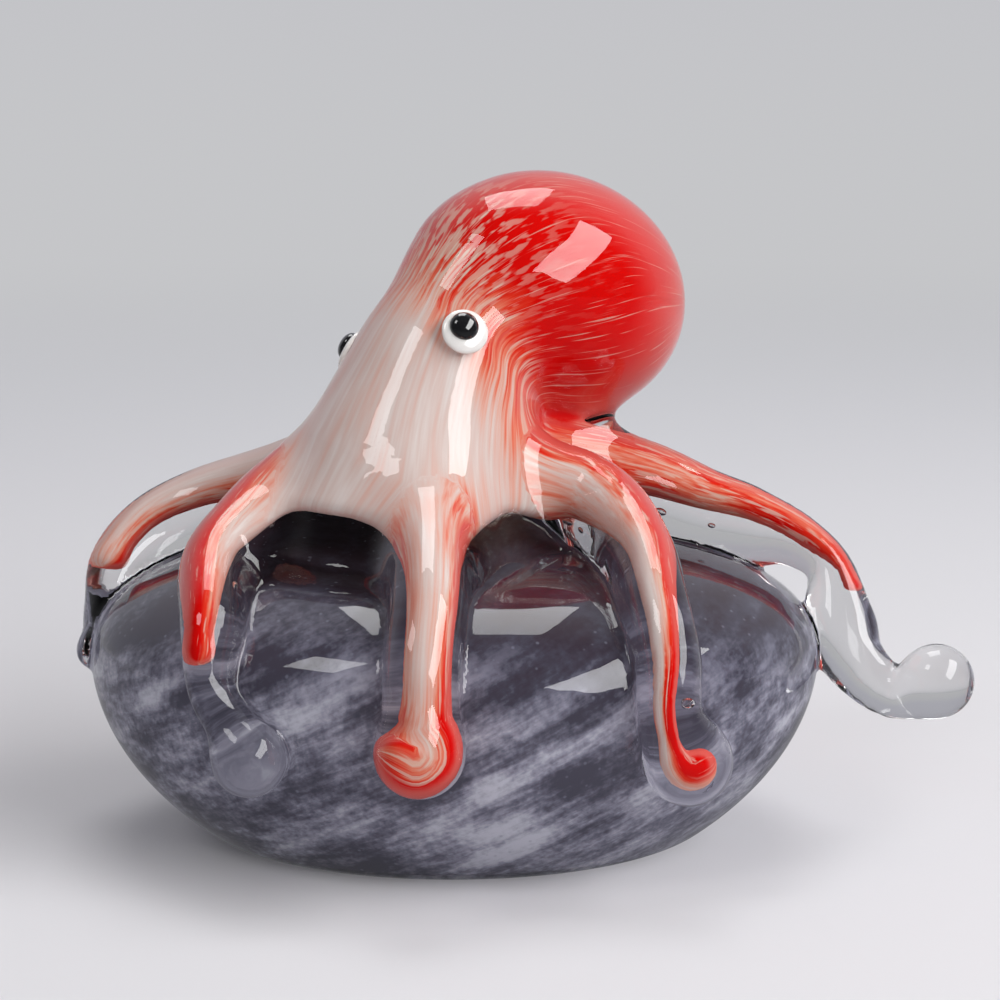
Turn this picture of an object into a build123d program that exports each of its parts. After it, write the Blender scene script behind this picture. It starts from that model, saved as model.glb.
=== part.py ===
from build123d import *
from math import acos, asin, cos, degrees, radians, sin
import os

# A paperweight ornament of hot-worked glass: an octopus that clings to a smooth boulder.
# The boulder is a mottled slate-coloured core under a clear gather, ground flat below.
# The octopus is red and white glass cased in clear. Its eight arms are drawn out over the
# boulder, each one a coloured cane inside a clear sleeve, and it has two bead eyes.
# Everything is fused hot, so nothing moves, and each kind of glass is its own solid.
# The frame: +Z up, origin at the middle of the ground base, +X to the right of the front,
# +Y towards the back. Lengths are in millimetres, angles in degrees.

# Boulder sizes
stone_width = 124.0
stone_depth = 104.0
girth_height = 31.0
crown_height = 21.0
foot_width = 82.0
stone_casing = 3.0
# How square the boulder's outline is above and below its girth, 2 being a plain oval.
crown_power = 2.3
belly_power = 1.9
# The slope where the rounded crown gives way to the small flat under the body.
flat_slope = 10.0

# Body sizes
body_shift_x = -3.0
body_shift_y = -1.0
lean_heading = 42.0
neck_height = 36.0
head_radius = 16.5
sac_radius = 21.2
sac_reach = 19.6
sac_droop = 27.0
crease_round = 2.5
body_casing = 1.8
clear_footing = 5.0

# Arm sizes
arm_girth = 13.0
cane_skin = 1.0

# Eye sizes
eye_radius = 3.9
eye_bulge = 1.8
pupil_radius = 2.5
pupil_bulge = 1.4
eye_spread = 48.0
pupil_squint = 0.8

# The column under the head, one row per section from the boulder up: height over the
# boulder and lean to the back in shares of neck_height, radius in shares of head_radius.
# The row before the last but one carries the eyes.
column_shares = [
    (-0.11, -0.20, 1.75),
    (0.11, -0.17, 1.45),
    (0.33, -0.13, 1.22),
    (0.60, -0.05, 1.08),
    (0.85, 0.07, 1.02),
    (1.02, 0.165, 0.99),
    (1.17, 0.27, 0.94),
]
eye_row = 4
# The small end of the sac and the point in the column where the arms start, as height
# and lean in shares of neck_height.
sac_start_share = (1.22, 0.317)
arm_start_share = (0.40, -0.11)
# The first section of every arm inside the column, in shares of arm_girth.
start_shares = (0.46, 0.46, 0.36, 0.36)

# The arms from root to tip, one row per station. The first two values are angles: heading
# round the boulder and slope down from its crown. The rest are shares of arm_girth: height
# over the boulder of the sleeve's top and of its underside, which is fused into the boulder
# where it is negative, half width of the sleeve, and half width and half height of the cane.
arm_shares = {
    "front": [
        (-101, 16, 1.18, -0.30, 0.54, 0.44, 0.38),
        (-96, 30, 0.98, -0.30, 0.52, 0.38, 0.31),
        (-94, 52, 0.74, -0.30, 0.48, 0.31, 0.26),
        (-94, 71, 0.65, -0.30, 0.45, 0.29, 0.24),
        (-94, 86, 0.62, -0.30, 0.42, 0.28, 0.23),
        (-94, 95, 0.70, -0.12, 0.41, 0.28, 0.27),
    ],
    "front_right": [
        (-31, 15, 1.28, -0.30, 0.52, 0.42, 0.38),
        (-33, 25, 1.10, -0.30, 0.50, 0.38, 0.30),
        (-46, 40, 0.86, -0.30, 0.45, 0.34, 0.27),
        (-54, 57, 0.72, -0.30, 0.41, 0.31, 0.24),
        (-57, 75, 0.64, -0.30, 0.39, 0.29, 0.22),
        (-58, 89, 0.64, -0.30, 0.37, 0.27, 0.21),
        (-55, 100, 0.73, -0.10, 0.37, 0.23, 0.22),
    ],
    "right": [
        (25, 17, 1.36, -0.30, 0.52, 0.42, 0.38),
        (19, 28, 1.22, -0.30, 0.50, 0.39, 0.32),
        (14, 40, 1.02, -0.30, 0.46, 0.34, 0.27),
        (10, 50, 1.01, -0.30, 0.41, 0.28, 0.23),
        (7, 60, 0.89, 0.35, 0.36, 0.23, 0.17),
        (2, 70, 0.85, 0.31, 0.34, 0.19, 0.16),
        (-4, 82, 0.80, -0.16, 0.36, 0.14, 0.14),
        (-8, 91, 0.90, 0.10, 0.34, 0.08, 0.08),
        (-10, 95, 1.38, 0.72, 0.33, 0.08, 0.08),
        (-11, 92, 1.91, 1.19, 0.36, 0.08, 0.08),
    ],
    "back_right": [
        (58, 17, 1.24, -0.30, 0.52, 0.42, 0.38),
        (56, 30, 0.97, -0.30, 0.49, 0.36, 0.30),
        (57, 48, 0.78, -0.30, 0.45, 0.31, 0.25),
        (60, 66, 0.66, -0.30, 0.42, 0.28, 0.22),
        (63, 84, 0.63, -0.30, 0.38, 0.26, 0.21),
        (65, 95, 0.69, -0.12, 0.37, 0.22, 0.22),
    ],
    "back": [
        (92, 17, 1.24, -0.30, 0.52, 0.42, 0.38),
        (91, 30, 0.97, -0.30, 0.49, 0.36, 0.30),
        (92, 48, 0.78, -0.30, 0.45, 0.31, 0.25),
        (94, 66, 0.66, -0.30, 0.41, 0.28, 0.22),
        (96, 81, 0.63, -0.30, 0.38, 0.26, 0.21),
        (96, 92, 0.67, -0.12, 0.37, 0.26, 0.25),
    ],
    "back_left": [
        (124, 17, 1.24, -0.30, 0.52, 0.42, 0.38),
        (122, 30, 0.97, -0.30, 0.49, 0.36, 0.30),
        (122, 48, 0.78, -0.30, 0.44, 0.31, 0.25),
        (125, 66, 0.65, -0.30, 0.40, 0.27, 0.21),
        (128, 80, 0.61, -0.30, 0.36, 0.23, 0.19),
        (130, 89, 0.63, -0.12, 0.35, 0.18, 0.17),
    ],
    "left": [
        (155, 20, 1.28, -0.30, 0.52, 0.42, 0.36),
        (156, 32, 1.10, -0.30, 0.50, 0.38, 0.31),
        (159, 45, 1.02, -0.30, 0.46, 0.34, 0.28),
        (165, 55, 0.92, -0.30, 0.42, 0.29, 0.25),
        (173, 64, 0.68, -0.30, 0.36, 0.22, 0.20),
        (180, 73, 0.40, -0.24, 0.31, 0.16, 0.16),
        (187, 84, 0.30, -0.16, 0.27, 0.12, 0.12),
        (190, 91, 0.26, -0.08, 0.24, 0.10, 0.10),
    ],
    "front_left": [
        (-172, 17, 1.24, -0.30, 0.52, 0.42, 0.36),
        (-162, 26, 1.10, -0.30, 0.50, 0.38, 0.30),
        (-151, 35, 0.94, -0.30, 0.46, 0.32, 0.26),
        (-142, 47, 0.78, -0.30, 0.42, 0.28, 0.22),
        (-130, 65, 0.65, -0.30, 0.37, 0.23, 0.19),
        (-126, 84, 0.49, -0.30, 0.27, 0.14, 0.13),
        (-122, 93, 0.54, -0.30, 0.28, 0.12, 0.12),
        (-119, 99, 0.64, -0.10, 0.32, 0.12, 0.12),
    ],
}
# How far along each arm its cane reaches.
cane_reach_shares = {
    "front": 1.0,
    "front_right": 1.0,
    "right": 0.75,
    "back_right": 1.0,
    "back": 1.0,
    "back_left": 0.90,
    "left": 0.70,
    "front_left": 0.80,
}
# The radius of the knob that ends each sleeve and each cane, in shares of arm_girth.
knob_shares = {
    "front": 0.51,
    "front_right": 0.54,
    "right": 0.46,
    "back_right": 0.50,
    "back": 0.48,
    "back_left": 0.45,
    "left": 0.32,
    "front_left": 0.44,
}
cane_knob_shares = {
    "front": 0.42,
    "front_right": 0.27,
    "right": 0.16,
    "back_right": 0.26,
    "back": 0.36,
    "back_left": 0.20,
    "left": 0.23,
    "front_left": 0.16,
}

# Worked out from the sizes above
stone_radius = stone_width / 2
depth_share = stone_depth / stone_width
foot_share = foot_width / stone_width
stone_top = girth_height + crown_height
belly_height = girth_height / (1 - foot_share**belly_power) ** (1 / belly_power)
up = Vector(0, 0, 1)
lean = Vector(cos(radians(lean_heading)), sin(radians(lean_heading)), 0)
aside = lean.cross(up)


# Boulder
def oval_sizes(slope, inset=0):
    """Power and half height of the outline above or below the girth."""
    if slope <= 90:
        return crown_power, crown_height - inset
    return belly_power, belly_height - inset


def oval_point(slope, inset=0):
    """Radius and height on the boulder's outline, slope degrees down from its crown."""
    power, reach = oval_sizes(slope, inset)
    out, rise = sin(radians(slope)), cos(radians(slope))
    side = 1 if slope <= 90 else -1
    radius = (stone_radius - inset) * out ** (2 / power)
    return radius, girth_height + side * reach * abs(rise) ** (2 / power)


def surface_point(heading, slope, lift):
    """A point at a lift over the boulder's surface, and the way out of the boulder there."""
    power, reach = oval_sizes(slope)
    radius, height = oval_point(slope)
    turn = radians(heading)
    face = 2 * (power - 1) / power
    side = 1 if slope <= 90 else -1
    flat = sin(radians(slope)) ** face / stone_radius
    steep = side * abs(cos(radians(slope))) ** face / reach
    outward = Vector(flat * cos(turn), flat * sin(turn) / depth_share, steep).normalized()
    foot = Vector(radius * cos(turn), radius * sin(turn) * depth_share, height)
    return foot + outward * lift, outward


def foot_slope(inset):
    """The slope at which the outline reaches the flat base, or the core's own base."""
    share = (girth_height - inset) / (belly_height - inset)
    return 180 - degrees(acos(share ** (belly_power / 2)))


def boulder(inset=0):
    """Level oval sections from the flat base up to a small flat under the body."""
    low = foot_slope(inset)
    slopes = [low + (90 - low) * step / 4 for step in range(4)]
    slopes += [90 + (flat_slope - 90) * step / 8 for step in range(9)]
    sections = []
    for slope in slopes:
        radius, height = oval_point(slope, inset)
        sections.append(Pos(0, 0, height) * Ellipse(radius, radius * depth_share))
    return loft(sections)


# Body
def body_point(height_share, lean_share):
    """A point in the body's middle plane."""
    start = Vector(body_shift_x, body_shift_y, stone_top)
    return start + up * (neck_height * height_share) + lean * (neck_height * lean_share)


def column_planes():
    """One plane per section of the column, square to its bent centre line."""
    centres = [body_point(height, back) for height, back, _ in column_shares]
    planes = []
    for row, centre in enumerate(centres):
        below = centres[max(row - 1, 0)]
        above = centres[min(row + 1, len(centres) - 1)]
        planes.append(Plane(centre, x_dir=aside, z_dir=above - below))
    return planes


def column(inset=0):
    """The flared neck that carries the head and spreads out over the boulder."""
    sections = [
        plane * Circle(head_radius * share - inset)
        for plane, (_, _, share) in zip(column_planes(), column_shares)
    ]
    return loft(sections)


def sac(inset=0):
    """The egg-shaped mantle behind the eyes, turned about its drooping axis."""
    small, big = head_radius - inset, sac_radius - inset
    splay = asin((big - small) / sac_reach)
    middle = (radians(90) + splay) / 2
    rear = (radians(90) - splay) / 2
    tip = (-small, 0)
    leave = (-small * sin(splay), small * cos(splay))
    meet = (sac_reach - big * sin(splay), big * cos(splay))
    end = (sac_reach + big, 0)
    front_arc = ThreePointArc(tip, (-small * cos(rear), small * sin(rear)), leave)
    back_arc = ThreePointArc(
        meet, (sac_reach + big * cos(middle), big * sin(middle)), end
    )
    outline = front_arc + Line(leave, meet) + back_arc + Line(end, tip)
    along = lean * cos(radians(sac_droop)) - up * sin(radians(sac_droop))
    place = Plane(body_point(*sac_start_share), x_dir=along, z_dir=aside)
    return place * revolve(make_face(outline), Axis.X)


def body_form(inset=0):
    """Column and sac in one, with the fold under the sac rounded."""
    neck, egg = column(inset), sac(inset)
    joined = neck + egg
    return fillet(new_edges(neck, egg, combined=joined), crease_round)


def footing():
    """The space at the foot of the body that the coloured glass leaves clear."""
    return Pos(0, 0, clear_footing) * Cylinder(
        stone_width, stone_top, align=(Align.CENTER, Align.CENTER, Align.MIN)
    )


# Arms
def arm_rows(name):
    """Centre, way out and half sizes at each row of the table, the first in the column."""
    rows = [(body_point(*arm_start_share), up, *start_shares)]
    for heading, slope, top, bottom, wide, *cane_sizes in arm_shares[name]:
        centre, outward = surface_point(heading, slope, arm_girth * (top + bottom) / 2)
        rows.append((centre, outward, wide, (top - bottom) / 2, *cane_sizes))
    return rows


def arm_stations(name):
    """The same at even steps along the arm, each with its place and a plane across it."""
    rows = arm_rows(name)
    route = Spline(*[row[0] for row in rows])
    places = [route.param_at_point(row[0]) for row in rows]
    stations = []
    for step in range(len(rows) + 1):
        place = step / len(rows)
        row = max(i for i in range(len(rows) - 1) if i == 0 or places[i] <= place)
        share = (place - places[row]) / (places[row + 1] - places[row])
        _, outward, *sizes = [
            first * (1 - share) + last * share for first, last in zip(rows[row], rows[row + 1])
        ]
        along = route % place
        across = Plane(route @ place, x_dir=outward.cross(along), z_dir=along)
        stations.append((place, across, *sizes))
    return stations


def drawn_form(sections, knob_share):
    """A drawn length of glass through oval sections, with a round knob at its end."""
    drawn = loft([
        plane * Ellipse(arm_girth * wide, arm_girth * tall) for plane, wide, tall in sections
    ])
    return drawn + Pos(sections[-1][0].origin) * Sphere(arm_girth * knob_share)


def sleeve(name):
    """The whole outer form of an arm."""
    sections = [(plane, wide, tall) for _, plane, wide, tall, _, _ in arm_stations(name)]
    return drawn_form(sections, knob_shares[name])


def cane(name):
    """The coloured heart of an arm, held near the outer side of its sleeve."""
    sections = []
    for place, plane, _, tall, cane_wide, cane_tall in arm_stations(name):
        if place <= cane_reach_shares[name]:
            rise = arm_girth * (tall - cane_tall) - cane_skin
            raised = Plane(plane.origin + plane.y_dir * rise, plane.x_dir, plane.z_dir)
            sections.append((raised, cane_wide, cane_tall))
    return drawn_form(sections, cane_knob_shares[name])


# Eyes
def eye_plane(side):
    """A plane on the head where an eye sits, facing out, with x towards the face."""
    ring = column_planes()[eye_row]
    radius = head_radius * column_shares[eye_row][2]
    spread = radians(side * eye_spread)
    face = aside.cross(ring.z_dir)
    outward = face * cos(spread) + aside * sin(spread)
    inward = face * sin(abs(spread)) - aside * (side * cos(spread))
    return Plane(ring.origin + outward * radius, x_dir=inward, z_dir=outward)


def eye_white_form(side):
    """A flattened drop of white glass."""
    drop = scale(Sphere(eye_radius), (1, 1, eye_bulge / eye_radius))
    return eye_plane(side) * drop


def pupil_form(side):
    """A dark bead on the white, set a little towards the face."""
    rise = eye_bulge + pupil_bulge - pupil_radius
    return eye_plane(side) * Pos(pupil_squint, 0, rise) * Sphere(pupil_radius)


def make_parts():
    """Every solid of the ornament by name, each cut where it meets its neighbours."""
    parts = {}
    stone, stone_heart = boulder(), boulder(stone_casing)
    parts["stone_core"] = stone_heart
    parts["stone_casing"] = stone - stone_heart

    skin = body_form()
    heart = body_form(body_casing) - footing()
    parts["body_core"] = heart
    footprint = None
    clear = skin - stone - heart
    for name in arm_shares:
        outer, inner = sleeve(name), cane(name)
        inner_cut, outer_cut = inner - stone - heart, outer - stone - skin
        if footprint:
            inner_cut, outer_cut = inner_cut - footprint, outer_cut - footprint
        parts[f"{name}_arm_core"] = inner_cut
        parts[f"{name}_arm_casing"] = outer_cut - inner
        clear -= inner_cut
        footprint = outer
    parts["body_casing"] = clear

    for label, side in (("left", 1), ("right", -1)):
        white, bead = eye_white_form(side), pupil_form(side)
        parts[f"{label}_eye_white"] = white - skin
        parts[f"{label}_eye_pupil"] = bead - skin - white
    return parts


if __name__ == "__main__":
    os.makedirs("parts", exist_ok=True)
    for node, solid in make_parts().items():
        export_step(solid, f"parts/{node}.step")
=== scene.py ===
from math import cos, pi, radians, sin

import bpy
import numpy as np
import openvdb
from mathutils import Matrix, Vector


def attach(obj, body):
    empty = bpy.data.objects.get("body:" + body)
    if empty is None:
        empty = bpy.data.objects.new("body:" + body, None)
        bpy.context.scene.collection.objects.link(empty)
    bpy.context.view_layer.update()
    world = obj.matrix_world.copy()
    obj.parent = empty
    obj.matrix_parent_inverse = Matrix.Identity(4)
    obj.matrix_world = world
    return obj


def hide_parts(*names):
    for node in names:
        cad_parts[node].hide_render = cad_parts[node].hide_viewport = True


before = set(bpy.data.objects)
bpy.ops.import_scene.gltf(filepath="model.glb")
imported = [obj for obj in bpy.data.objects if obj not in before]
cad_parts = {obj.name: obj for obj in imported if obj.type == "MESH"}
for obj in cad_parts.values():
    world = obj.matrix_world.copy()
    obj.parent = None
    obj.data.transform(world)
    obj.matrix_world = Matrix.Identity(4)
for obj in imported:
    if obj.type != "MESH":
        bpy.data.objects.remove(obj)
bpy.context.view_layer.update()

# Lengths are in millimetres until the meshes are made; the studio at the end is in metres.
MM = 0.001
STEP = 0.85
# Cells along one side of a block of that grid, and the distance taken beyond the grid
BLOCK, OUTSIDE = 4, 20.0
# Points along each run of glass, and along each stretch of the curve that it follows
ARM_STEPS, COLUMN_STEPS, FLOW_STEPS, CURVE_STEPS = 72, 96, 60, 40
# How far past a tube its distance is worked out, and the value given beyond that
TUBE_MARGIN, FAR = 9.0, 30.0

# Boulder
STONE_ACROSS, STONE_DEEP = 62.0, 52.0
GIRTH, CROWN, BELLY = 31.0, 21.0, 42.9
CROWN_POWER, BELLY_POWER = 2.3, 1.9
STONE_TOP = GIRTH + CROWN

# How softly glass runs together: knob and arm, cane and cane, arm and arm, column and sac,
# arms and body, coloured arms and coloured body, animal and boulder, boulder and its base
KNOB_BLEND, CANE_BLEND, ARM_BLEND, SAC_BLEND = 3.0, 3.0, 4.0, 6.0
BODY_BLEND, CORE_BLEND, STONE_BLEND, BASE_BLEND = 8.0, 10.0, 1.1, 2.0

# The coloured glass: how deep it lies in the body, how far over the boulder its foot ends and
# how soft that end is, the least clear glass outside it and how softly that trims it, and the
# clear glass over each cane
COLOUR_DEPTH, COLOUR_FOOT, FOOT_BLEND = 1.6, 5.0, 5.0
LEAST_CLEAR, TRIM_BLEND, CANE_COVER = 1.0, 1.5, 1.4

# Body: height over the boulder, lean to the back, radius
LEAN = np.array([cos(radians(42)), sin(radians(42)), 0.0])
BODY_FOOT = np.array([-3.0, -1.0, STONE_TOP])
COLUMN = [
    (-4.0, -7.2, 28.9),
    (4.0, -6.1, 23.9),
    (11.9, -4.5, 20.1),
    (20.0, -1.6, 17.4),
    (27.5, 2.0, 15.6),
    (34.5, 6.8, 14.0),
    (41.0, 12.2, 12.6),
]
SAC_MIDDLE, SAC_DROOP = (37.8, 25.4), 14.0
HEAD_RADIUS, SAC_LONG, SAC_ROUND = 16.5, 26.6, 21.4
# The line of flow inside the sac: its heading, and how far out and how high past the middle
FLOW_HEADING, FLOW_END = 24, [(3.0, 1.5), (13.0, 1.0), (26.0, -2.0)]
# The white-speckled patch on the crown: its middle, and its spread, squared
SPECKLED, SPECKLED_SPREAD = (0.5, -1.0, 100.0), 180
# The slanting line on the side of the head where white turns to red: its height and its
# lean to the back there, how fast it leans above and below, and how fast red comes in
RED_HEIGHT, RED_BACK, RED_SLANT_OVER, RED_SLANT_UNDER = 81.0, -0.1, 0.36, 0.15
RED_AT_LINE, RED_GAIN, LEAST_RED, MOST_RED = 0.42, 0.042, 0.12, 1.15

# Where every arm starts, up and back from the boulder's top, and its half width and half
# height there, of the sleeve and then of the cane
ARM_START, ARM_START_SLEEVE, ARM_START_CANE = (14.4, -4.0), (6.0, 6.0), (4.7, 4.7)
# Arms: heading round the boulder, slope down from its crown, height of the sleeve's top and
# underside over the boulder, its half width, then the cane's half width, half height and
# its shift to the animal's left across the sleeve
ARMS = {
    "front": [
        (-101, 16, 15.3, -3.9, 7.0, 5.2, 4.6, 0.0),
        (-96, 30, 12.7, -3.9, 6.8, 3.6, 3.4, 0.4),
        (-94, 52, 9.6, -3.9, 6.3, 3.1, 2.7, 0.9),
        (-94, 71, 8.4, -3.9, 6.1, 3.0, 2.6, 1.0),
        (-94, 86, 8.1, -3.9, 5.8, 3.2, 2.8, 1.0),
        (-94, 95, 9.1, -1.6, 5.5, 3.9, 3.4, 0.2),
    ],
    "front_right": [
        (-31, 15, 16.6, -3.9, 6.8, 5.4, 5.0, 0.0),
        (-33, 25, 14.3, -3.9, 6.5, 4.4, 4.2, 0.2),
        (-46, 40, 11.2, -3.9, 5.9, 2.8, 2.6, 0.3),
        (-54, 57, 9.4, -3.9, 5.4, 2.2, 2.0, -0.6),
        (-57, 75, 8.3, -3.9, 5.2, 1.9, 1.8, -1.7),
        (-58, 89, 8.3, -3.9, 5.0, 1.8, 1.7, -2.6),
        (-55, 100, 9.5, -1.3, 4.8, 1.9, 1.8, -3.0),
    ],
    "right": [
        (25, 17, 17.7, -3.9, 6.8, 5.2, 4.8, 0.0),
        (19, 28, 15.9, -3.9, 6.5, 4.4, 4.0, 0.0),
        (14, 40, 13.3, -3.9, 6.0, 3.2, 3.0, 0.0),
        (10, 50, 12.9, -1.6, 5.4, 2.5, 2.4, 0.0),
        (6, 60, 12.3, 2.6, 5.0, 1.9, 1.8, 0.0),
        (2, 70, 11.5, 3.4, 4.6, 1.3, 1.2, 0.0),
        (-4, 82, 10.4, -2.1, 4.7, 0.5, 0.5, 0.0),
        (-8, 91, 11.7, 1.3, 4.4, 0.4, 0.4, 0.0),
        (-10, 95, 17.9, 9.4, 4.3, 0.4, 0.4, 0.0),
        (-11, 92, 24.8, 15.5, 4.7, 0.4, 0.4, 0.0),
    ],
    "back_right": [
        (58, 17, 16.1, -3.9, 6.8, 5.2, 4.8, 0.0),
        (56, 30, 12.6, -3.9, 6.4, 3.8, 3.6, 0.0),
        (57, 48, 10.1, -3.9, 5.9, 2.4, 2.2, 0.0),
        (60, 66, 8.6, -3.9, 5.5, 1.9, 1.8, 0.0),
        (63, 84, 8.2, -3.9, 4.9, 1.7, 1.6, 0.0),
        (65, 95, 9.0, -1.6, 4.8, 2.2, 2.2, 0.0),
    ],
    "back": [
        (92, 17, 16.1, -3.9, 6.8, 5.2, 4.8, 0.0),
        (91, 30, 12.6, -3.9, 6.4, 3.8, 3.6, 0.0),
        (92, 48, 10.1, -3.9, 5.9, 2.4, 2.2, 0.0),
        (94, 66, 8.6, -3.9, 5.3, 1.9, 1.8, 0.0),
        (96, 81, 8.2, -3.9, 4.9, 1.8, 1.7, 0.0),
        (96, 92, 8.7, -1.6, 5.1, 3.0, 3.0, 0.0),
    ],
    "back_left": [
        (124, 17, 16.1, -3.9, 6.8, 5.2, 4.8, 0.0),
        (122, 30, 12.6, -3.9, 6.4, 3.8, 3.6, 0.0),
        (122, 48, 10.1, -3.9, 5.7, 2.3, 2.2, 0.0),
        (125, 66, 8.5, -3.9, 5.2, 1.7, 1.6, 0.0),
        (128, 80, 7.9, -3.9, 4.7, 1.4, 1.4, 0.0),
        (130, 89, 8.2, -1.6, 4.6, 1.2, 1.2, 0.0),
    ],
    "left": [
        (155, 20, 16.6, -3.9, 6.8, 4.8, 4.2, 0.0),
        (156, 32, 14.3, -3.9, 6.5, 3.8, 3.4, 0.0),
        (159, 45, 13.3, -3.9, 6.0, 3.2, 2.8, 0.0),
        (165, 55, 12.0, -3.9, 5.5, 2.8, 2.4, 0.0),
        (173, 64, 8.8, -3.9, 4.7, 2.4, 2.2, 0.0),
        (180, 72, 4.2, -3.1, 3.8, 1.4, 1.4, 0.0),
        (186, 80, 2.0, -2.6, 3.0, 0.8, 0.8, 0.0),
        (190, 87, 1.2, -2.4, 2.6, 0.6, 0.6, 0.0),
    ],
    "front_left": [
        (-172, 17, 16.1, -3.9, 6.8, 4.6, 4.2, 0.0),
        (-162, 26, 14.3, -3.9, 6.5, 4.1, 3.6, -0.4),
        (-151, 35, 12.2, -3.9, 6.2, 3.7, 3.2, -0.5),
        (-142, 47, 10.1, -3.9, 5.8, 3.0, 2.7, -0.4),
        (-130, 65, 8.5, -3.9, 5.0, 2.0, 1.8, -0.4),
        (-126, 84, 6.4, -3.9, 3.6, 1.0, 1.0, -0.8),
        (-122, 93, 7.0, -3.9, 3.6, 0.5, 0.5, 0.0),
        (-119, 99, 8.3, -1.3, 4.2, 0.5, 0.5, 0.0),
    ],
}
# How far along its arm each cane reaches, where that isn't all the way
CANE_REACH = {
    "front": 0.95,
    "front_right": 0.97,
    "right": 0.74,
    "left": 0.78,
    "front_left": 0.80,
    "back_left": 0.90,
}
# The radii of the knobs that end each sleeve and each cane
KNOBS = {
    "front": (6.9, 4.0),
    "front_right": (7.0, 2.1),
    "right": (6.0, 0.5),
    "back_right": (6.5, 3.2),
    "back": (6.2, 4.2),
    "back_left": (5.9, 2.4),
    "left": (2.8, 1.6),
    "front_left": (5.7, 1.4),
}
# Where a cane curls at its end: steps onward and to the animal's left
CURLS = {
    "front": [(1.8, 1.4), (4.4, 1.6), (6.2, -0.6), (5.4, -2.9)],
    "front_right": [(1.8, -0.2), (3.6, 0.6), (3.8, 2.4)],
}
# Air trapped in the sleeves: share of the arm's run, place across and up, half width and
# half length
BUBBLES = [
    ("front_left", 0.30, 3.6, -0.8, 0.6, 1.6),
    ("front_left", 0.41, 3.9, -0.5, 0.5, 1.1),
    ("front_left", 0.66, 2.4, 0.4, 0.5, 0.9),
    ("front", 0.30, -4.6, -0.9, 0.5, 1.3),
    ("front", 0.36, -4.7, -1.2, 0.4, 0.8),
    ("front", 0.33, 4.7, -0.9, 0.5, 1.2),
    ("front_right", 0.34, -3.7, -1.0, 0.5, 1.5),
    ("front_right", 0.41, -4.0, -0.9, 0.4, 0.9),
    ("front_right", 0.90, 1.9, 0.8, 0.6, 0.8),
    ("right", 0.42, -3.0, -1.0, 0.6, 1.1),
    ("right", 0.50, -2.7, -0.7, 0.4, 0.7),
]
# How red each arm is: along its middle, then what is added at its edges, to one side, at
# its root and at its tip, and how far the middle is turned round the cane, in degrees
TINTS = {
    "front": (0.14, 1.30, 0.20, 0.0, 0.60, 5),
    "front_right": (0.18, 1.10, 0.45, 0.50, 0.30, -43),
    "right": (0.62, 0.25, 0.0, 0.10, 0.25, -75),
    "back_right": (0.50, 0.40, 0.0, 0.10, 0.30, 0),
    "back": (0.25, 0.60, 0.0, 0.20, 0.60, 0),
    "back_left": (0.20, 0.60, 0.0, 0.10, 0.40, 0),
    "left": (0.22, 0.60, 0.45, 0.0, 0.30, 75),
    "front_left": (0.44, 0.60, -0.48, 0.10, 0.35, 54),
}
# The eyes: height over the boulder of each, how far round from the face, radii of white
# and bead, how far both stand out, and how far the bead is off the middle of the white
EYE_RISE = {"left": 30.0, "right": 25.4}
EYE_SPREAD = 53
EYE_WHITE, EYE_BEAD = (3.9, 1.0), (2.45, 1.5)
BEAD_SHIFT = (0.5, 0.4)


# Distances
def unit(v):
    """Vectors of length 1."""
    return v / np.linalg.norm(v, axis=-1, keepdims=True)


def soft_min(a, b, reach):
    """The nearer of two distances, rounded where they meet."""
    share = np.clip(0.5 + 0.5 * (b - a) / reach, 0, 1)
    return b + (a - b) * share - reach * share * (1 - share)


def soft_max(a, b, reach):
    """The farther of two distances, rounded where they meet."""
    return -soft_min(-a, -b, reach)


def melted(tubes, p, reach):
    """Distance from tubes that run softly into one another."""
    gap = None
    for tube in tubes.values():
        near = tube.field(p)
        gap = near if gap is None else soft_min(gap, near, reach)
    return gap


def stone_point(heading, slope, lift):
    """A point at a lift over the boulder, and the way out of the boulder there."""
    power, reach = (CROWN_POWER, CROWN) if slope <= 90 else (BELLY_POWER, BELLY)
    side = 1 if slope <= 90 else -1
    turn, fall = radians(heading), radians(slope)
    radius, rise = sin(fall) ** (2 / power), abs(cos(fall)) ** (2 / power)
    x, y = STONE_ACROSS * radius * cos(turn), STONE_DEEP * radius * sin(turn)
    spot = np.array([x, y, GIRTH + side * reach * rise])
    face = 2 * (power - 1) / power
    level, steep = sin(fall) ** face, side * abs(cos(fall)) ** face
    ways = [level * cos(turn) / STONE_ACROSS, level * sin(turn) / STONE_DEEP, steep / reach]
    outward = unit(np.array(ways))
    return spot + outward * lift, outward


def stone_field(p):
    """Distance from the boulder's surface, negative inside."""
    x, y, z = p[:, 0], p[:, 1], p[:, 2] - GIRTH
    power = np.where(z >= 0, CROWN_POWER, BELLY_POWER)
    reach = np.where(z >= 0, CROWN, BELLY)
    level = np.hypot(x / STONE_ACROSS, y / STONE_DEEP) + 1e-6
    steep = np.abs(z) / reach + 1e-6
    size = (level**power + steep**power) ** (1 / power)
    flat_pull = (level / size) ** (power - 1) / level
    level_slope = flat_pull**2 * ((x / STONE_ACROSS**2) ** 2 + (y / STONE_DEEP**2) ** 2)
    slope = np.sqrt(level_slope + ((steep / size) ** (power - 1) / reach) ** 2)
    return soft_max((size - 1) / slope, -p[:, 2], BASE_BLEND)


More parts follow.
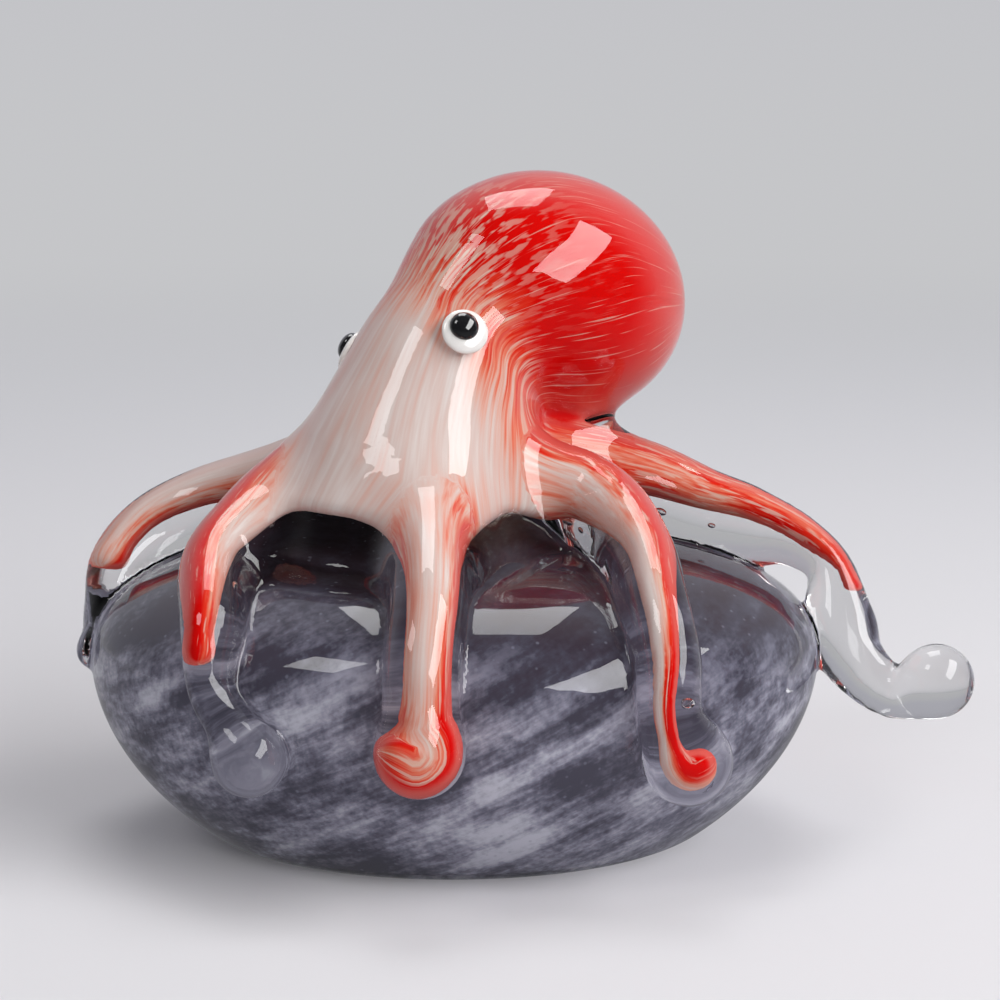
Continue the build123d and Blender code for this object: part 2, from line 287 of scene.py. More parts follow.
# Drawn glass
def smooth_run(rows, count):
    """Even steps along a smooth curve through rows, whose first three values are a place."""
    rows = np.array(rows, float)
    rows = np.vstack([2 * rows[0] - rows[1], rows, 2 * rows[-1] - rows[-2]])
    t = np.linspace(0, 1, CURVE_STEPS, endpoint=False)[:, None]
    pieces = []
    for a, b, c, d in zip(rows[:-3], rows[1:-2], rows[2:-1], rows[3:]):
        line, bend, twist = c - a, 2 * a - 5 * b + 4 * c - d, 3 * b - a - 3 * c + d
        pieces.append(0.5 * (2 * b + line * t + bend * t**2 + twist * t**3))
    fine = np.vstack(pieces + [rows[-2][None]])
    gaps = np.linalg.norm(np.diff(fine[:, :3], axis=0), axis=1)
    length = np.concatenate([[0], np.cumsum(gaps)])
    marks = np.linspace(0, length[-1], count)
    even = np.stack([np.interp(marks, length, column) for column in fine.T], 1)
    return marks, even


class Tube:
    """A drawn length of glass with an oval section that changes along its run."""

    def __init__(self, places, outward, wide, tall, marks, knob=None):
        self.places, self.marks = places, marks
        self.along = unit(np.gradient(places, axis=0))
        self.side = unit(np.cross(outward, self.along))
        self.up = np.cross(self.along, self.side)
        self.wide, self.tall = wide, tall
        self.knob = knob
        self.low = places.min(0) - wide.max() - TUBE_MARGIN
        self.high = places.max(0) + wide.max() + TUBE_MARGIN

    def nearest(self, p):
        """The number of the run's step that is nearest to each point."""
        least = np.full(len(p), np.inf, np.float32)
        index = np.zeros(len(p), np.int32)
        points = p.astype(np.float32)
        for i, place in enumerate(self.places.astype(np.float32)):
            offset = points - place
            gap = np.einsum("ij,ij->i", offset, offset)
            closer = gap < least
            least[closer] = gap[closer]
            index[closer] = i
        return index

    def locate(self, p):
        """Place along the run, offsets onward, across and up from it, and its half sizes."""
        index = self.nearest(p)
        onward = np.einsum("ij,ij->i", p - self.places[index], self.along[index])
        last = len(self.places) - 1
        spacing = self.marks[1] - self.marks[0]
        place = np.clip(index + onward / spacing, 0, last)
        lower = np.minimum(place.astype(int), last - 1)
        share = (place - lower)[:, None]

        def here(values):
            return values[lower] * (1 - share) + values[lower + 1] * share

        offset = p - here(self.places)
        ways = [unit(here(way)) for way in (self.along, self.side, self.up)]
        onward, across, rise = (np.einsum("ij,ij->i", offset, way) for way in ways)
        wide, tall = here(self.wide[:, None])[:, 0], here(self.tall[:, None])[:, 0]
        return place * spacing, onward, across, rise, wide, tall

    def field(self, p):
        """Distance from the tube's surface where p is near it, or else a large value."""
        result = np.full(len(p), FAR)
        near = np.all((p > self.low) & (p < self.high), axis=1)
        if near.any():
            _, onward, across, rise, wide, tall = self.locate(p[near])
            mean = np.minimum(wide, tall)
            sizes = ((across, wide), (rise, tall), (onward, mean))
            shape = np.sqrt(sum((offset / half) ** 2 for offset, half in sizes))
            pull = np.sqrt(sum((offset / half**2) ** 2 for offset, half in sizes))
            shape = np.maximum(shape, 1e-6)
            gap = (shape - 1) * shape / np.maximum(pull, 1e-6)
            if self.knob:
                ball = np.linalg.norm(p[near] - self.knob[0], axis=1) - self.knob[1]
                gap = soft_min(gap, ball, KNOB_BLEND)
            result[near] = gap
        return result


def body_place(rise, back):
    """A place in the body, by its height over the boulder and its lean to the back."""
    return BODY_FOOT + np.array([0, 0, rise]) + LEAN * back


def column_tube(inset=0.0):
    """The leaning column from the foot to the head."""
    rows = [(*body_place(rise, back), radius - inset) for rise, back, radius in COLUMN]
    marks, even = smooth_run(rows, COLUMN_STEPS)
    facing = np.tile(np.cross([0, 0, 1], LEAN), (len(even), 1))
    return Tube(even[:, :3], facing, even[:, 3], even[:, 3], marks)


def body_flow(p):
    """Where points lie round and along the body's drawn glass, from the neck to the pole
    at the far side of the sac."""
    rows = [body_place(rise, back) for rise, back, _ in COLUMN[:-1]]
    start = body_place(*SAC_MIDDLE)
    heading = radians(FLOW_HEADING)
    far = np.array([cos(heading), sin(heading), 0.0])
    rows += [start + far * reach + np.array([0, 0, rise]) for reach, rise in FLOW_END]
    _, line = smooth_run(rows, FLOW_STEPS)
    onward = unit(line[-1] - line[0])
    across = unit(np.cross(LEAN, [0, 0, 1]))
    reach = p @ onward
    middle = np.stack([np.interp(reach, line @ onward, axis) for axis in line.T], 1)
    turn = np.arctan2((p - middle) @ across, (p - middle) @ np.cross(across, onward))
    return np.stack([HEAD_RADIUS * np.cos(turn), HEAD_RADIUS * np.sin(turn), reach], 1)


def arm_tubes(name):
    """The sleeve and the cane of an arm."""
    rows = [(*body_place(*ARM_START), 0, 0, 1, *ARM_START_SLEEVE, *ARM_START_CANE, 0)]
    for heading, slope, top, under, wide, cane_wide, cane_tall, shift in ARMS[name]:
        place, outward = stone_point(heading, slope, (top + under) / 2)
        tall = (top - under) / 2
        rows.append((*place, *outward, wide, tall, cane_wide, cane_tall, shift))
    marks, even = smooth_run(rows, ARM_STEPS)
    places, outward = even[:, :3], unit(even[:, 3:6])
    wide, tall, cane_wide, cane_tall, shift = even[:, 6:].T
    knob, cane_knob = KNOBS[name]
    sleeve = Tube(places, outward, wide, tall, marks, (places[-1], knob))
    kept = int(len(marks) * CANE_REACH.get(name, 1.0))
    raised = places + sleeve.up * (tall - cane_tall - CANE_COVER)[:, None]
    raised = (raised + sleeve.side * shift[:, None])[:kept]
    along, side = sleeve.along[kept - 1], sleeve.side[kept - 1]
    curl = [raised[-1] + along * on + side * off for on, off in CURLS.get(name, [])]
    spacing = marks[1] - marks[0]
    if curl:
        length = np.sum(np.linalg.norm(np.diff([raised[-1], *curl], axis=0), axis=1))
        _, bend = smooth_run([raised[-1], *curl], int(length / spacing) + 2)
        raised = np.vstack([raised, bend[1:]])
    held = np.minimum(np.arange(len(raised)), kept - 1)
    cane_marks = spacing * np.arange(len(raised))
    end = (raised[-1], cane_knob)
    cane = Tube(raised, outward[held], cane_wide[held], cane_tall[held], cane_marks, end)
    return sleeve, cane


sleeves, canes = {}, {}
for arm in ARMS:
    sleeves[arm], canes[arm] = arm_tubes(arm)
column, heart_column = column_tube(), column_tube(COLOUR_DEPTH)


# Forms
def sac_field(p, inset=0.0):
    """Distance from the egg-shaped mantle."""
    droop = radians(SAC_DROOP)
    along = LEAN * cos(droop) - np.array([0, 0, sin(droop)])
    offset = p - body_place(*SAC_MIDDLE)
    onward = offset @ along
    aside = np.sqrt(np.maximum(np.sum(offset**2, axis=1) - onward**2, 0))
    long, wide = SAC_LONG - inset, SAC_ROUND - inset
    shape = np.maximum(np.hypot(onward / long, aside / wide), 1e-6)
    pull = np.maximum(np.hypot(onward / long**2, aside / wide**2), 1e-6)
    return shape * (shape - 1) / pull


def octopus_field(p):
    """Distance from the outside of the whole animal."""
    body = soft_min(column.field(p), sac_field(p), SAC_BLEND)
    return soft_min(body, melted(sleeves, p, ARM_BLEND), BODY_BLEND)


def skin_field(p):
    """Distance from the clear glass: animal and boulder melted into one."""
    return soft_min(octopus_field(p), stone_field(p), STONE_BLEND)


def heart_field(p):
    """Distance from the coloured glass of column and sac."""
    return soft_min(heart_column.field(p), sac_field(p, COLOUR_DEPTH), SAC_BLEND)


def colour_field(p):
    """Distance from all the coloured glass: body and canes, held inside the clear."""
    body = soft_max(heart_field(p), STONE_TOP + COLOUR_FOOT - p[:, 2], FOOT_BLEND)
    joined = soft_min(body, melted(canes, p, CANE_BLEND), CORE_BLEND)
    return soft_max(joined, octopus_field(p) + LEAST_CLEAR, TRIM_BLEND)


# Meshes
def gridded(field, low, high):
    """The field on an even grid, worked out in full only near its surface."""
    block = BLOCK * STEP
    low = np.array(low, float)
    cells = np.ceil((np.array(high) - low) / block).astype(int)
    corners = np.indices(cells).reshape(3, -1).T * block + low
    rough = field(corners + block / 2)
    near = np.abs(rough) < block * 1.4
    inner = (np.indices((BLOCK,) * 3).reshape(3, -1).T + 0.5) * STEP
    values = np.repeat(rough[:, None], len(inner), 1)
    points = (corners[near][:, None] + inner).reshape(-1, 3)
    values[near] = field(points).reshape(-1, len(inner))
    grid = values.reshape(*cells, BLOCK, BLOCK, BLOCK).transpose(0, 3, 1, 4, 2, 5)
    return low + STEP / 2, grid.reshape(cells * BLOCK)


def slopes_at(field, p):
    """The field and its gradient at points."""
    here = field(p)
    reach = 0.05
    moved = [field(p + np.eye(3)[axis] * reach) for axis in range(3)]
    return here, np.stack([(m - here) / reach for m in moved], 1)


def modelled(name, points, faces, scale=MM):
    """A smooth object from points and the faces between them."""
    mesh = bpy.data.meshes.new(name)
    mesh.from_pydata(np.asarray(points, float) * scale, [], faces)
    mesh.shade_smooth()
    mesh.update()
    piece = bpy.data.objects.new(name, mesh)
    bpy.context.scene.collection.objects.link(piece)
    return piece


def blown_form(name, field, low, high):
    """A closed mesh on the surface where the field is zero, drawn onto it, and its points."""
    corner, values = gridded(field, low, high)
    grid = openvdb.FloatGrid(OUTSIDE)
    grid.copyFromArray(np.ascontiguousarray(values, dtype=np.float32))
    points, quads = grid.convertToQuads(0.0)
    points = points.astype(float) * STEP + corner
    pulls, furthest, least_steep = 2, 0.4, 0.25
    for _ in range(pulls):
        here, slope = slopes_at(field, points)
        steep = np.maximum(np.sum(slope**2, axis=1), least_steep)
        points -= slope * (np.clip(here, -furthest, furthest) / steep)[:, None]
    return modelled(name, points, quads.tolist()), points


def ringed_faces(rings, around, first=0):
    """The faces of a closed form whose points are one pole, its rings and the other pole."""
    faces = [(first, first + 1 + i, first + 1 + (i + 1) % around) for i in range(around)]
    for ring in range(rings - 1):
        low = first + 1 + ring * around
        for i in range(around):
            j = (i + 1) % around
            faces.append((low + i, low + around + i, low + around + j, low + j))
    last = first + 1 + rings * around
    low = last - around
    return faces + [(low + i, last, low + (i + 1) % around) for i in range(around)]


def ring_of(middle, aside, upward, reach, around):
    """Points round a middle, in the plane of two ways that are square to each other."""
    turns = [2 * pi * step / around for step in range(around)]
    return [middle + (aside * cos(turn) + upward * sin(turn)) * reach for turn in turns]


# Materials
class Wire:
    """A socket in a material's tree, joined with plain arithmetic."""

    def __init__(self, tree, socket):
        self.tree, self.socket = tree, socket

    def _with(self, operation, *values):
        return make(self.tree, "Math", {"operation": operation}, *values)

    def __add__(self, other):
        return self._with("ADD", self, other)

    def __radd__(self, other):
        return self._with("ADD", other, self)

    def __sub__(self, other):
        return self._with("SUBTRACT", self, other)

    def __rsub__(self, other):
        return self._with("SUBTRACT", other, self)

    def __mul__(self, other):
        return self._with("MULTIPLY", self, other)

    def __rmul__(self, other):
        return self._with("MULTIPLY", other, self)

    def absolute(self):
        return self._with("ABSOLUTE", self)

    def clamped(self):
        return make(self.tree, "Clamp", {}, self)

    def between(self, low, high):
        """0 below low, 1 above high, with a soft step between."""
        settings = {"interpolation_type": "SMOOTHSTEP"}
        return make(self.tree, "MapRange", settings, self, low, high)

    def out(self, name):
        """Another output of the same node."""
        return Wire(self.tree, self.socket.node.outputs[name])


def fill(tree, socket, value):
    """Links a wire to a socket, or sets the socket to a plain value."""
    if isinstance(value, Wire):
        tree.links.new(value.socket, socket)
    else:
        socket.default_value = value


def make(tree, kind, settings, *values, **named):
    """A node of a kind, with its settings first, then values or links by order or name."""
    node = tree.nodes.new("ShaderNode" + kind)
    for key, value in settings.items():
        if key == "stops":
            ramp = node.color_ramp
            while len(ramp.elements) < len(value):
                ramp.elements.new(0.5)
            for element, (place, colour) in zip(ramp.elements, value):
                element.position = place
                element.color = (*colour, 1)
        else:
            setattr(node, key, value)
    for socket, value in zip(node.inputs, values):
        fill(tree, socket, value)
    for key, value in named.items():
        fill(tree, node.inputs[key.replace("_", " ")], value)
    shown = [s for s in node.outputs if s.enabled and not s.is_unavailable]
    return Wire(tree, shown[0])


def mixed(tree, share, first, last):
    """A colour between two colours."""
    node = tree.nodes.new("ShaderNodeMix")
    node.data_type = "RGBA"
    for index, value in ((0, share), (6, first), (7, last)):
        if not isinstance(value, (Wire, float, int)):
            value = (*value, 1)
        fill(tree, node.inputs[index], value)
    return Wire(tree, node.outputs[2])


def glossy(name, **values):
    """A new material with a Principled shader: the material, its tree and the shader."""
    material = bpy.data.materials.new(name)
    material.use_nodes = True
    tree = material.node_tree
    shader = tree.nodes["Principled BSDF"]
    for key, value in values.items():
        fill(tree, shader.inputs[key.replace("_", " ")], value)
    return material, tree, shader


def show_mix(tree, share, first, last):
    """Shows a mix of two shaders as the material's surface."""
    surface = make(tree, "MixShader", {}, share, first, last)
    fill(tree, tree.nodes["Material Output"].inputs["Surface"], surface)


def clear_glass():
    """Fire-polished clear glass with faint drawn waves. It lets the light reach its heart."""
    material, tree, shader = glossy("clear glass", IOR=1.5, Transmission_Weight=1.0)
    place = make(tree, "TexCoord", {}).out("Object")
    waves = make(tree, "TexNoise", {}, Vector=place, Scale=90.0, Detail=1.0)
    fill(tree, shader.inputs["Roughness"], waves * 0.02)
    bump = make(tree, "Bump", {}, Strength=0.15, Distance=0.0003, Height=waves)
    fill(tree, shader.inputs["Normal"], bump)
    path = make(tree, "LightPath", {})
    lit = (path.out("Is Shadow Ray") + path.out("Is Diffuse Ray")).clamped()
    open_way = make(tree, "BsdfTransparent", {})
    show_mix(tree, lit, Wire(tree, shader.outputs[0]), open_way)
    return material


def streaked_glass():
    """Red and white glass, pulled into streaks along the way it was drawn, with a painted pale
    sheen where it turns away from the view.
    """
    material, tree, shader = glossy("red and white glass", Roughness=0.35)
    fill(tree, shader.inputs["Specular IOR Level"], 0.0)
    flow = make(tree, "Attribute", {"attribute_name": "flow"}).out("Vector")
    red = make(tree, "Attribute", {"attribute_name": "red"}).out("Fac")
    patch = make(tree, "Attribute", {"attribute_name": "patch"}).out("Fac")

    def drawn_noise(across, along, detail):
        """Noise that is short across the flow and long along it."""
        settings = {"operation": "MULTIPLY"}
        laid = make(tree, "VectorMath", settings, flow, (across, across, along))
        return make(tree, "TexNoise", {}, Vector=laid, Scale=1.0, Detail=detail)

    bands = drawn_noise(0.25, 0.05, 2.0)
    threads = drawn_noise(1.0, 0.06, 3.0)
    hairs = drawn_noise(2.6, 0.10, 2.0)
    flecks = drawn_noise(0.9, 0.24, 2.0)
    strands = drawn_noise(1.5, 0.09, 2.0)
    edge = (1 - (red - 0.5).absolute() * 2.0).clamped()
    amount = red + (bands - 0.5) * (0.35 + edge * 0.7)
    amount += (threads - 0.5) * (0.20 + edge * 1.0) + (hairs - 0.5) * (0.05 + edge * 0.6)
    white_to_red = [
        (0.0, (0.78, 0.68, 0.64)),
        (0.13, (0.73, 0.57, 0.52)),
        (0.32, (0.76, 0.42, 0.34)),
        (0.52, (0.78, 0.20, 0.12)),
        (0.72, (0.74, 0.035, 0.015)),
        (0.90, (0.68, 0.002, 0.001)),
    ]
    glass = make(tree, "ValToRGB", {"stops": white_to_red}, amount.clamped())
    thin = hairs.between(0.60, 0.74) * 0.50 * red.between(0.5, 0.9)
    half_red = red.between(0.36, 0.58) * (1 - red.between(0.70, 0.95))
    spots = strands.between(0.52, 0.64) * half_red + flecks.between(0.49, 0.58) * patch
    glass = mixed(tree, (thin + spots * 0.7).clamped(), glass, (0.74, 0.52, 0.42))
    # Painted sheen: where the glass turns away from the view its colour is drawn toward pale
    # salmon, standing in for light glowing through the thin rims.
    rim = make(tree, "LayerWeight", {}, Blend=0.5).out("Facing")
    painted_rim_sheen = rim.between(0.12, 0.34) * 0.30
    fill(tree, shader.inputs["Base Color"], mixed(tree, painted_rim_sheen, glass, (0.72, 0.34, 0.28)))
    return material


def slate_glass():
    """Cloudy slate-blue glass, darker and plum above, with pale slanting drifts below."""
    material, tree, shader = glossy("slate glass", Roughness=0.5)
    fill(tree, shader.inputs["Specular IOR Level"], 0.0)
    place = make(tree, "TexCoord", {}).out("Object")
    height = make(tree, "SeparateXYZ", {}, place).out("Z") * 1000.0
    slant = make(tree, "Mapping", {}, Vector=place, Rotation=(0.0, 0.48, 0.0))
    slant = make(tree, "VectorMath", {"operation": "MULTIPLY"}, slant, (0.30, 0.7, 2.0))
    cloud = make(tree, "TexNoise", {}, Vector=place, Scale=70.0, Detail=8.0, Roughness=0.65)
    drift = make(tree, "TexNoise", {}, Vector=slant, Scale=110.0, Detail=6.0, Roughness=0.62)
    wide = make(tree, "TexNoise", {}, Vector=place, Scale=16.0, Detail=2.0)
    grain = make(tree, "TexNoise", {}, Vector=place, Scale=900.0, Detail=2.0)
    specks = make(tree, "TexVoronoi", {}, Vector=place, Scale=420.0)
    low = 1 - (height + (wide - 0.5) * 26.0).between(28.0, 48.0)
    pale = (cloud * 0.42 + drift * 0.58 + (grain - 0.5) * 0.12).between(0.40, 0.64)
    amount = (low * 0.28 + pale * (0.16 + low * 0.56)).clamped()
    plum_to_pale = [
        (0.0, (0.034, 0.020, 0.028)),
        (0.25, (0.062, 0.058, 0.082)),
        (0.50, (0.170, 0.166, 0.220)),
        (0.75, (0.330, 0.325, 0.400)),
        (1.0, (0.56, 0.56, 0.64)),
    ]
    glass = make(tree, "ValToRGB", {"stops": plum_to_pale}, amount)
    dust = (1 - specks.out("Distance").between(0.06, 0.16)) * 0.35
    fill(tree, shader.inputs["Base Color"], mixed(tree, dust, glass, (0.25, 0.26, 0.33)))
    return material


def bead_glass(name, colour):
    """Opaque glass, fire-polished, with a faint mottle."""
    material, tree, shader = glossy(name, Roughness=0.08, Coat_Weight=1.0)
    place = make(tree, "TexCoord", {}).out("Object")
    mottle = make(tree, "TexNoise", {}, Vector=place, Scale=600.0, Detail=2.0)
    paler = tuple(min(1.0, c * 1.1 + 0.01) for c in colour)
    fill(tree, shader.inputs["Base Color"], mixed(tree, mottle, colour, paler))
    return material


# Flow and colour of the streaked glass
def body_red(p):
    """How red the body is: pale on the face, red behind a slanting line past the eyes."""
    back = (p - BODY_FOOT) @ LEAN
    over = p[:, 2] - RED_HEIGHT
    edge = RED_BACK - np.where(over > 0, RED_SLANT_OVER, RED_SLANT_UNDER) * over
    return np.clip(RED_AT_LINE + (back - edge) * RED_GAIN, LEAST_RED, MOST_RED)


def cane_flow(cane, number, p):
    """Where points lie round and along a cane, in a place of its own, then their turn round
    it and their share of its run."""
    place, onward, across, rise, wide, _ = cane.locate(p)
    turn = np.arctan2(across, rise)
    round_it = np.stack([np.cos(turn), np.sin(turn)], 1) * wide[:, None]
    laid = np.column_stack([round_it + 40 * (number + 1), place + onward])
    return laid, turn, place / cane.marks[-1]


def cane_red(name, turn, share):
    """How red a cane is, by the turn round it and the share of its run."""
    middle, edge, side, root, tip, twist = TINTS[name]
    turn = turn - radians(twist)
    red = middle + edge * (1 - np.cos(turn)) / 2 + side * np.sin(turn)
    red += root * np.clip(1 - share * 1.6, 0, 1)
    return red + tip * np.clip((share - 0.75) * 4, 0, 1)


def keep_values(piece, name, values):
    """Numbers or vectors kept with a piece's points, for its material to read."""
    kind, key = ("FLOAT_VECTOR", "vector") if values.ndim == 2 else ("FLOAT", "value")
    layer = piece.data.attributes.new(name, kind, "POINT")
    layer.data.foreach_set(key, values.astype(np.float32).ravel())


def lay_flow(piece, p):
    """Where each point lies round and along the drawn glass, and how red it is there."""
    body_lead, cane_range, red_blend = 0.5, 12, 1.6
    nearest = heart_field(p) - body_lead
    gaps, flow, reds = [nearest], body_flow(p), [body_red(p)]
    for number, (name, cane) in enumerate(canes.items()):
        gap = cane.field(p)
        mine = np.flatnonzero(gap < cane_range)
        laid, turn, share = cane_flow(cane, number, p[mine])
        red = np.zeros(len(p))
        red[mine] = cane_red(name, turn, share)
        closer = gap[mine] < nearest[mine]
        flow[mine[closer]] = laid[closer]
        gaps.append(gap)
        reds.append(red)
        nearest = np.minimum(nearest, gap)
    weights = np.exp(-(np.array(gaps) - nearest) / red_blend)
    keep_values(piece, "flow", flow)
    patch = np.exp(-np.sum((p - SPECKLED) ** 2, axis=1) / SPECKLED_SPREAD)
    keep_values(piece, "patch", patch)
    red = np.sum(weights * np.array(reds), axis=0) / weights.sum(axis=0)
    keep_values(piece, "red", red)


# Pieces
def finished(piece, material):
    """A piece in its glass, fixed to the one body."""
    piece.data.materials.clear()
    piece.data.materials.append(material)
    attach(piece, "root")
    return piece


def clear_gather(glass):
    """The clear glass over boulder, body and arms."""
    skin, _ = blown_form("clear_gather", skin_field, (-76, -66, -4), (88, 66, 118))
    finished(skin, glass)
    casings = [f"{arm}_arm_casing" for arm in ARMS]
    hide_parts("stone_casing", "body_casing", *casings)


def coloured_glass():
    """The red and white glass of body and arms, inside the clear."""
    low, high = (-70, -60, 20), (76, 60, 116)
    colour, points = blown_form("red_and_white_glass", colour_field, low, high)
    finished(colour, streaked_glass())
    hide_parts("body_core", *[f"{arm}_arm_core" for arm in ARMS])
    lay_flow(colour, points)


def slate_heart():
    """The boulder's heart as the frame has it, in cloudy glass."""
    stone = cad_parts["stone_core"]
    stone.data.materials.clear()
    stone.data.materials.append(slate_glass())


def trapped_air(glass):
    """Small drawn-out bubbles in the sleeves, their walls facing inward like the air's."""
    rings, around = 9, 16
    points, faces = [], []
    for arm, share, across, rise, half, long in BUBBLES:
        sleeve = sleeves[arm]
        step = int(share * (len(sleeve.places) - 1))
        along, side, up = sleeve.along[step], sleeve.side[step], sleeve.up[step]
        middle = sleeve.places[step] + side * across + up * rise
        faces += [face[::-1] for face in ringed_faces(rings, around, len(points))]
        points.append(middle + along * long)
        for ring in range(1, rings + 1):
            turn = pi * ring / (rings + 1)
            centre = middle + along * long * cos(turn)
            points += ring_of(centre, side, up, half * sin(turn), around)
        points.append(middle - along * long)
    finished(modelled("trapped_air", points, faces), glass)


def eye_seat(side):
    """Where an eye sits on the head, the way out of it there, and the way up its face."""
    rise = EYE_RISE[side]
    step = int(np.argmin(np.abs(column.places[:, 2] - STONE_TOP - rise)))
    along = column.along[step]
    across = np.cross(LEAN, [0, 0, 1])
    spread = radians(EYE_SPREAD) * (1 if side == "left" else -1)
    outward = np.cross(across, along) * cos(spread) + across * sin(spread)
    seat = (column.places[step] + outward * column.wide[step])[None]
    for _ in range(3):
        here, slope = slopes_at(skin_field, seat)
        seat = seat - slope * (here / np.sum(slope**2, axis=1))[:, None]
    outward = unit(slope[0])
    upward = unit(along - outward * (along @ outward))
    return seat[0], outward, upward


def melted_drop(name, seat, outward, upward, radius, bulge):
    """A drop of glass melted flat against the head: a round cushion with a full edge."""
    aside = np.cross(upward, outward)
    rings, around = 14, 48
    points = [seat + outward * bulge]
    for ring in range(1, rings + 1):
        turn = radians(115) * ring / rings
        if turn <= pi / 2:
            reach, rise = radius * sin(turn), bulge * cos(turn)
        else:
            reach, rise = radius * sin(turn) ** 0.5, 1.6 * bulge * cos(turn)
        points += ring_of(seat + outward * rise, aside, upward, reach, around)
    points.append(seat - outward * bulge)
    return modelled(name, points, ringed_faces(rings, around))


def eyes():
    """On each side of the head a white drop, and on it a black bead, a little off its middle."""
    white = bead_glass("white glass", (0.80, 0.78, 0.75))
    black = bead_glass("black glass", (0.004, 0.004, 0.005))
    for side in ("left", "right"):
        seat, outward, upward = eye_seat(side)
        drop = melted_drop(f"{side}_eye_drop", seat, outward, upward, *EYE_WHITE)
        finished(drop, white)
        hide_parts(f"{side}_eye_white")
        inward = np.cross(outward, upward) * (1 if side == "left" else -1)
        centre = seat + outward * EYE_WHITE[1] * 0.8
        centre += inward * BEAD_SHIFT[0] + upward * BEAD_SHIFT[1]
        bead = melted_drop(f"{side}_eye_bead", centre, outward, upward, *EYE_BEAD)
        finished(bead, black)
        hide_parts(f"{side}_eye_pupil")


gather_glass = clear_glass()
clear_gather(gather_glass)
coloured_glass()
slate_heart()
trapped_air(gather_glass)
eyes()


# Studio

# Soft lamps: place, the way their length runs, width, length, and the radiance of their face
SOFTBOXES = {
    "right softbox": ((0.68, -0.42, 0.68), (0.17, 0.98, 0.42), 0.38, 1.15, 7.0),
    "left softbox": ((-0.50, -0.42, 0.90), (0.2, 0.2, 1.0), 0.26, 0.30, 5.0),
    "top softbox": ((0.0, 0.40, 1.10), (1.0, 0.0, 0.0), 0.50, 0.50, 4.0),
}
LAMP_TARGET = (0, 0, 0.06)
# The floor: half its width, its near edge, where it starts to curve up and the radius of
# that curve, and how high the backdrop goes
FLOOR_HALF, FLOOR_NEAR, FLOOR_CURVE, BACKDROP_TOP = 6.0, -4.0, 1.2, 4.0
# The camera: what it looks at, how far off it is and how far it looks down, in degrees
CAMERA_TARGET, CAMERA_AWAY, CAMERA_DOWN = (0.0077, 0, 0.0566), 0.472, 10


def softbox(name, place, lengthwise, wide, long, glow):
    """A soft lamp turned to the ornament."""
    lamp = bpy.data.lights.new(name, "AREA")
    lamp.shape = "RECTANGLE"
    lamp.size, lamp.size_y = wide, long
    lamp.energy = glow * pi * wide * long
    holder = bpy.data.objects.new(name, lamp)
    away = unit(np.array(place) - LAMP_TARGET)
    aside = unit(np.cross(lengthwise, away))
    turn = Matrix(np.stack([aside, np.cross(away, aside), away], 1))
    holder.matrix_world = Matrix.Translation(place) @ turn.to_4x4()
    bpy.context.scene.collection.objects.link(holder)


def looked_at(tree):
    """1 where a ray looks at a surface, straight on or through the glass."""
    path = make(tree, "LightPath", {})
    direct = path.out("Is Camera Ray") + path.out("Is Glossy Ray")
    return (direct + path.out("Is Transmission Ray")).clamped()


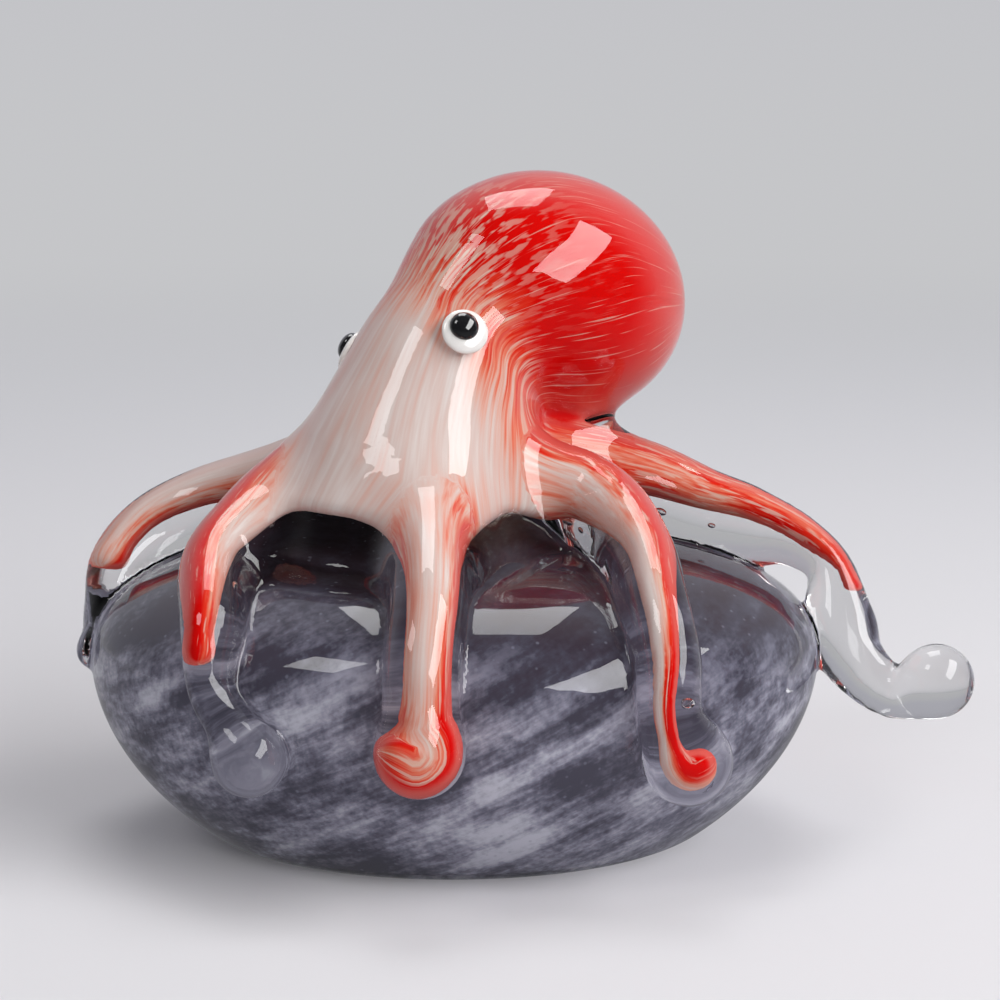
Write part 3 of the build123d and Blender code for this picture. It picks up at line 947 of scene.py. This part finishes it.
def studio_paper():
    """Pale paper. Far off it shows an even glow, and near it mirrors see a painted dark
    reflection instead of the pale paper.
    """
    material, tree, shader = glossy("studio paper", Roughness=0.7)
    fill(tree, shader.inputs["Specular IOR Level"], 0.1)
    place = make(tree, "SeparateXYZ", {}, make(tree, "TexCoord", {}).out("Object"))
    far, high = place.out("Y").between(0.0, 1.1), place.out("Z").between(0.0, 0.5)
    paper = mixed(tree, far, (0.72, 0.71, 0.73), (0.80, 0.80, 0.86))
    fill(tree, shader.inputs["Base Color"], paper)
    lit = mixed(tree, high, (0.560, 0.563, 0.580), (0.500, 0.500, 0.550))
    path = make(tree, "LightPath", {})
    # Painted reflection: near the ornament, glossy rays see the paper as dark grey emission
    # rather than its pale colour.
    mirrored = path.out("Is Glossy Ray") * (1 - path.out("Is Transmission Ray"))
    near = mirrored * (1 - place.out("Y").between(-0.1, 0.4))
    glow = make(tree, "Emission", {}, mixed(tree, near, lit, (0.13, 0.13, 0.14)), 1.0)
    seen = (far * looked_at(tree) + near).clamped()
    show_mix(tree, seen, Wire(tree, shader.outputs[0]), glow)
    return material


def sweep():
    """A pale floor that curves up into an evenly lit backdrop."""
    run, steps = [(FLOOR_NEAR, 0.0), (FLOOR_CURVE, 0.0)], 12
    for step in range(1, steps + 1):
        turn = radians(90 * step / steps)
        run.append((FLOOR_CURVE * (1 + sin(turn)), FLOOR_CURVE * (1 - cos(turn))))
    run.append((2 * FLOOR_CURVE, BACKDROP_TOP))
    points = [(x, y, z) for y, z in run for x in (-FLOOR_HALF, FLOOR_HALF)]
    faces = [(2 * i, 2 * i + 1, 2 * i + 3, 2 * i + 2) for i in range(len(run) - 1)]
    floor = modelled("sweep", points, faces, 1.0)
    floor.data.materials.append(studio_paper())


def room():
    """The studio's own light: pale behind the ornament, dim in front, even on its surfaces."""
    world = bpy.data.worlds.new("studio")
    bpy.context.scene.world = world
    world.use_nodes = True
    tree = world.node_tree
    facing = make(tree, "TexCoord", {}).out("Generated")
    behind = make(tree, "SeparateXYZ", {}, facing).out("Y").between(-0.1, 0.5)
    seen = mixed(tree, behind, (0.05, 0.05, 0.055), (0.50, 0.50, 0.53))
    glow = mixed(tree, looked_at(tree), (0.32, 0.32, 0.33), seen)
    fill(tree, tree.nodes["Background"].inputs["Color"], glow)


def camera():
    """The camera in front of the ornament, looking a little down at it."""
    scene = bpy.context.scene
    lens = bpy.data.cameras.new("camera")
    lens.lens, lens.sensor_width = 100, 36
    lens.clip_end = 100
    eye = bpy.data.objects.new("camera", lens)
    look = radians(CAMERA_DOWN)
    eye.location = Vector(CAMERA_TARGET) + CAMERA_AWAY * Vector((0, -cos(look), sin(look)))
    eye.rotation_euler = (radians(90 - CAMERA_DOWN), 0, 0)
    scene.collection.objects.link(eye)
    scene.camera = eye
    scene.view_settings.view_transform = "Standard"


sweep()
room()
for lamp_name, lamp_values in SOFTBOXES.items():
    softbox(lamp_name, *lamp_values)
camera()
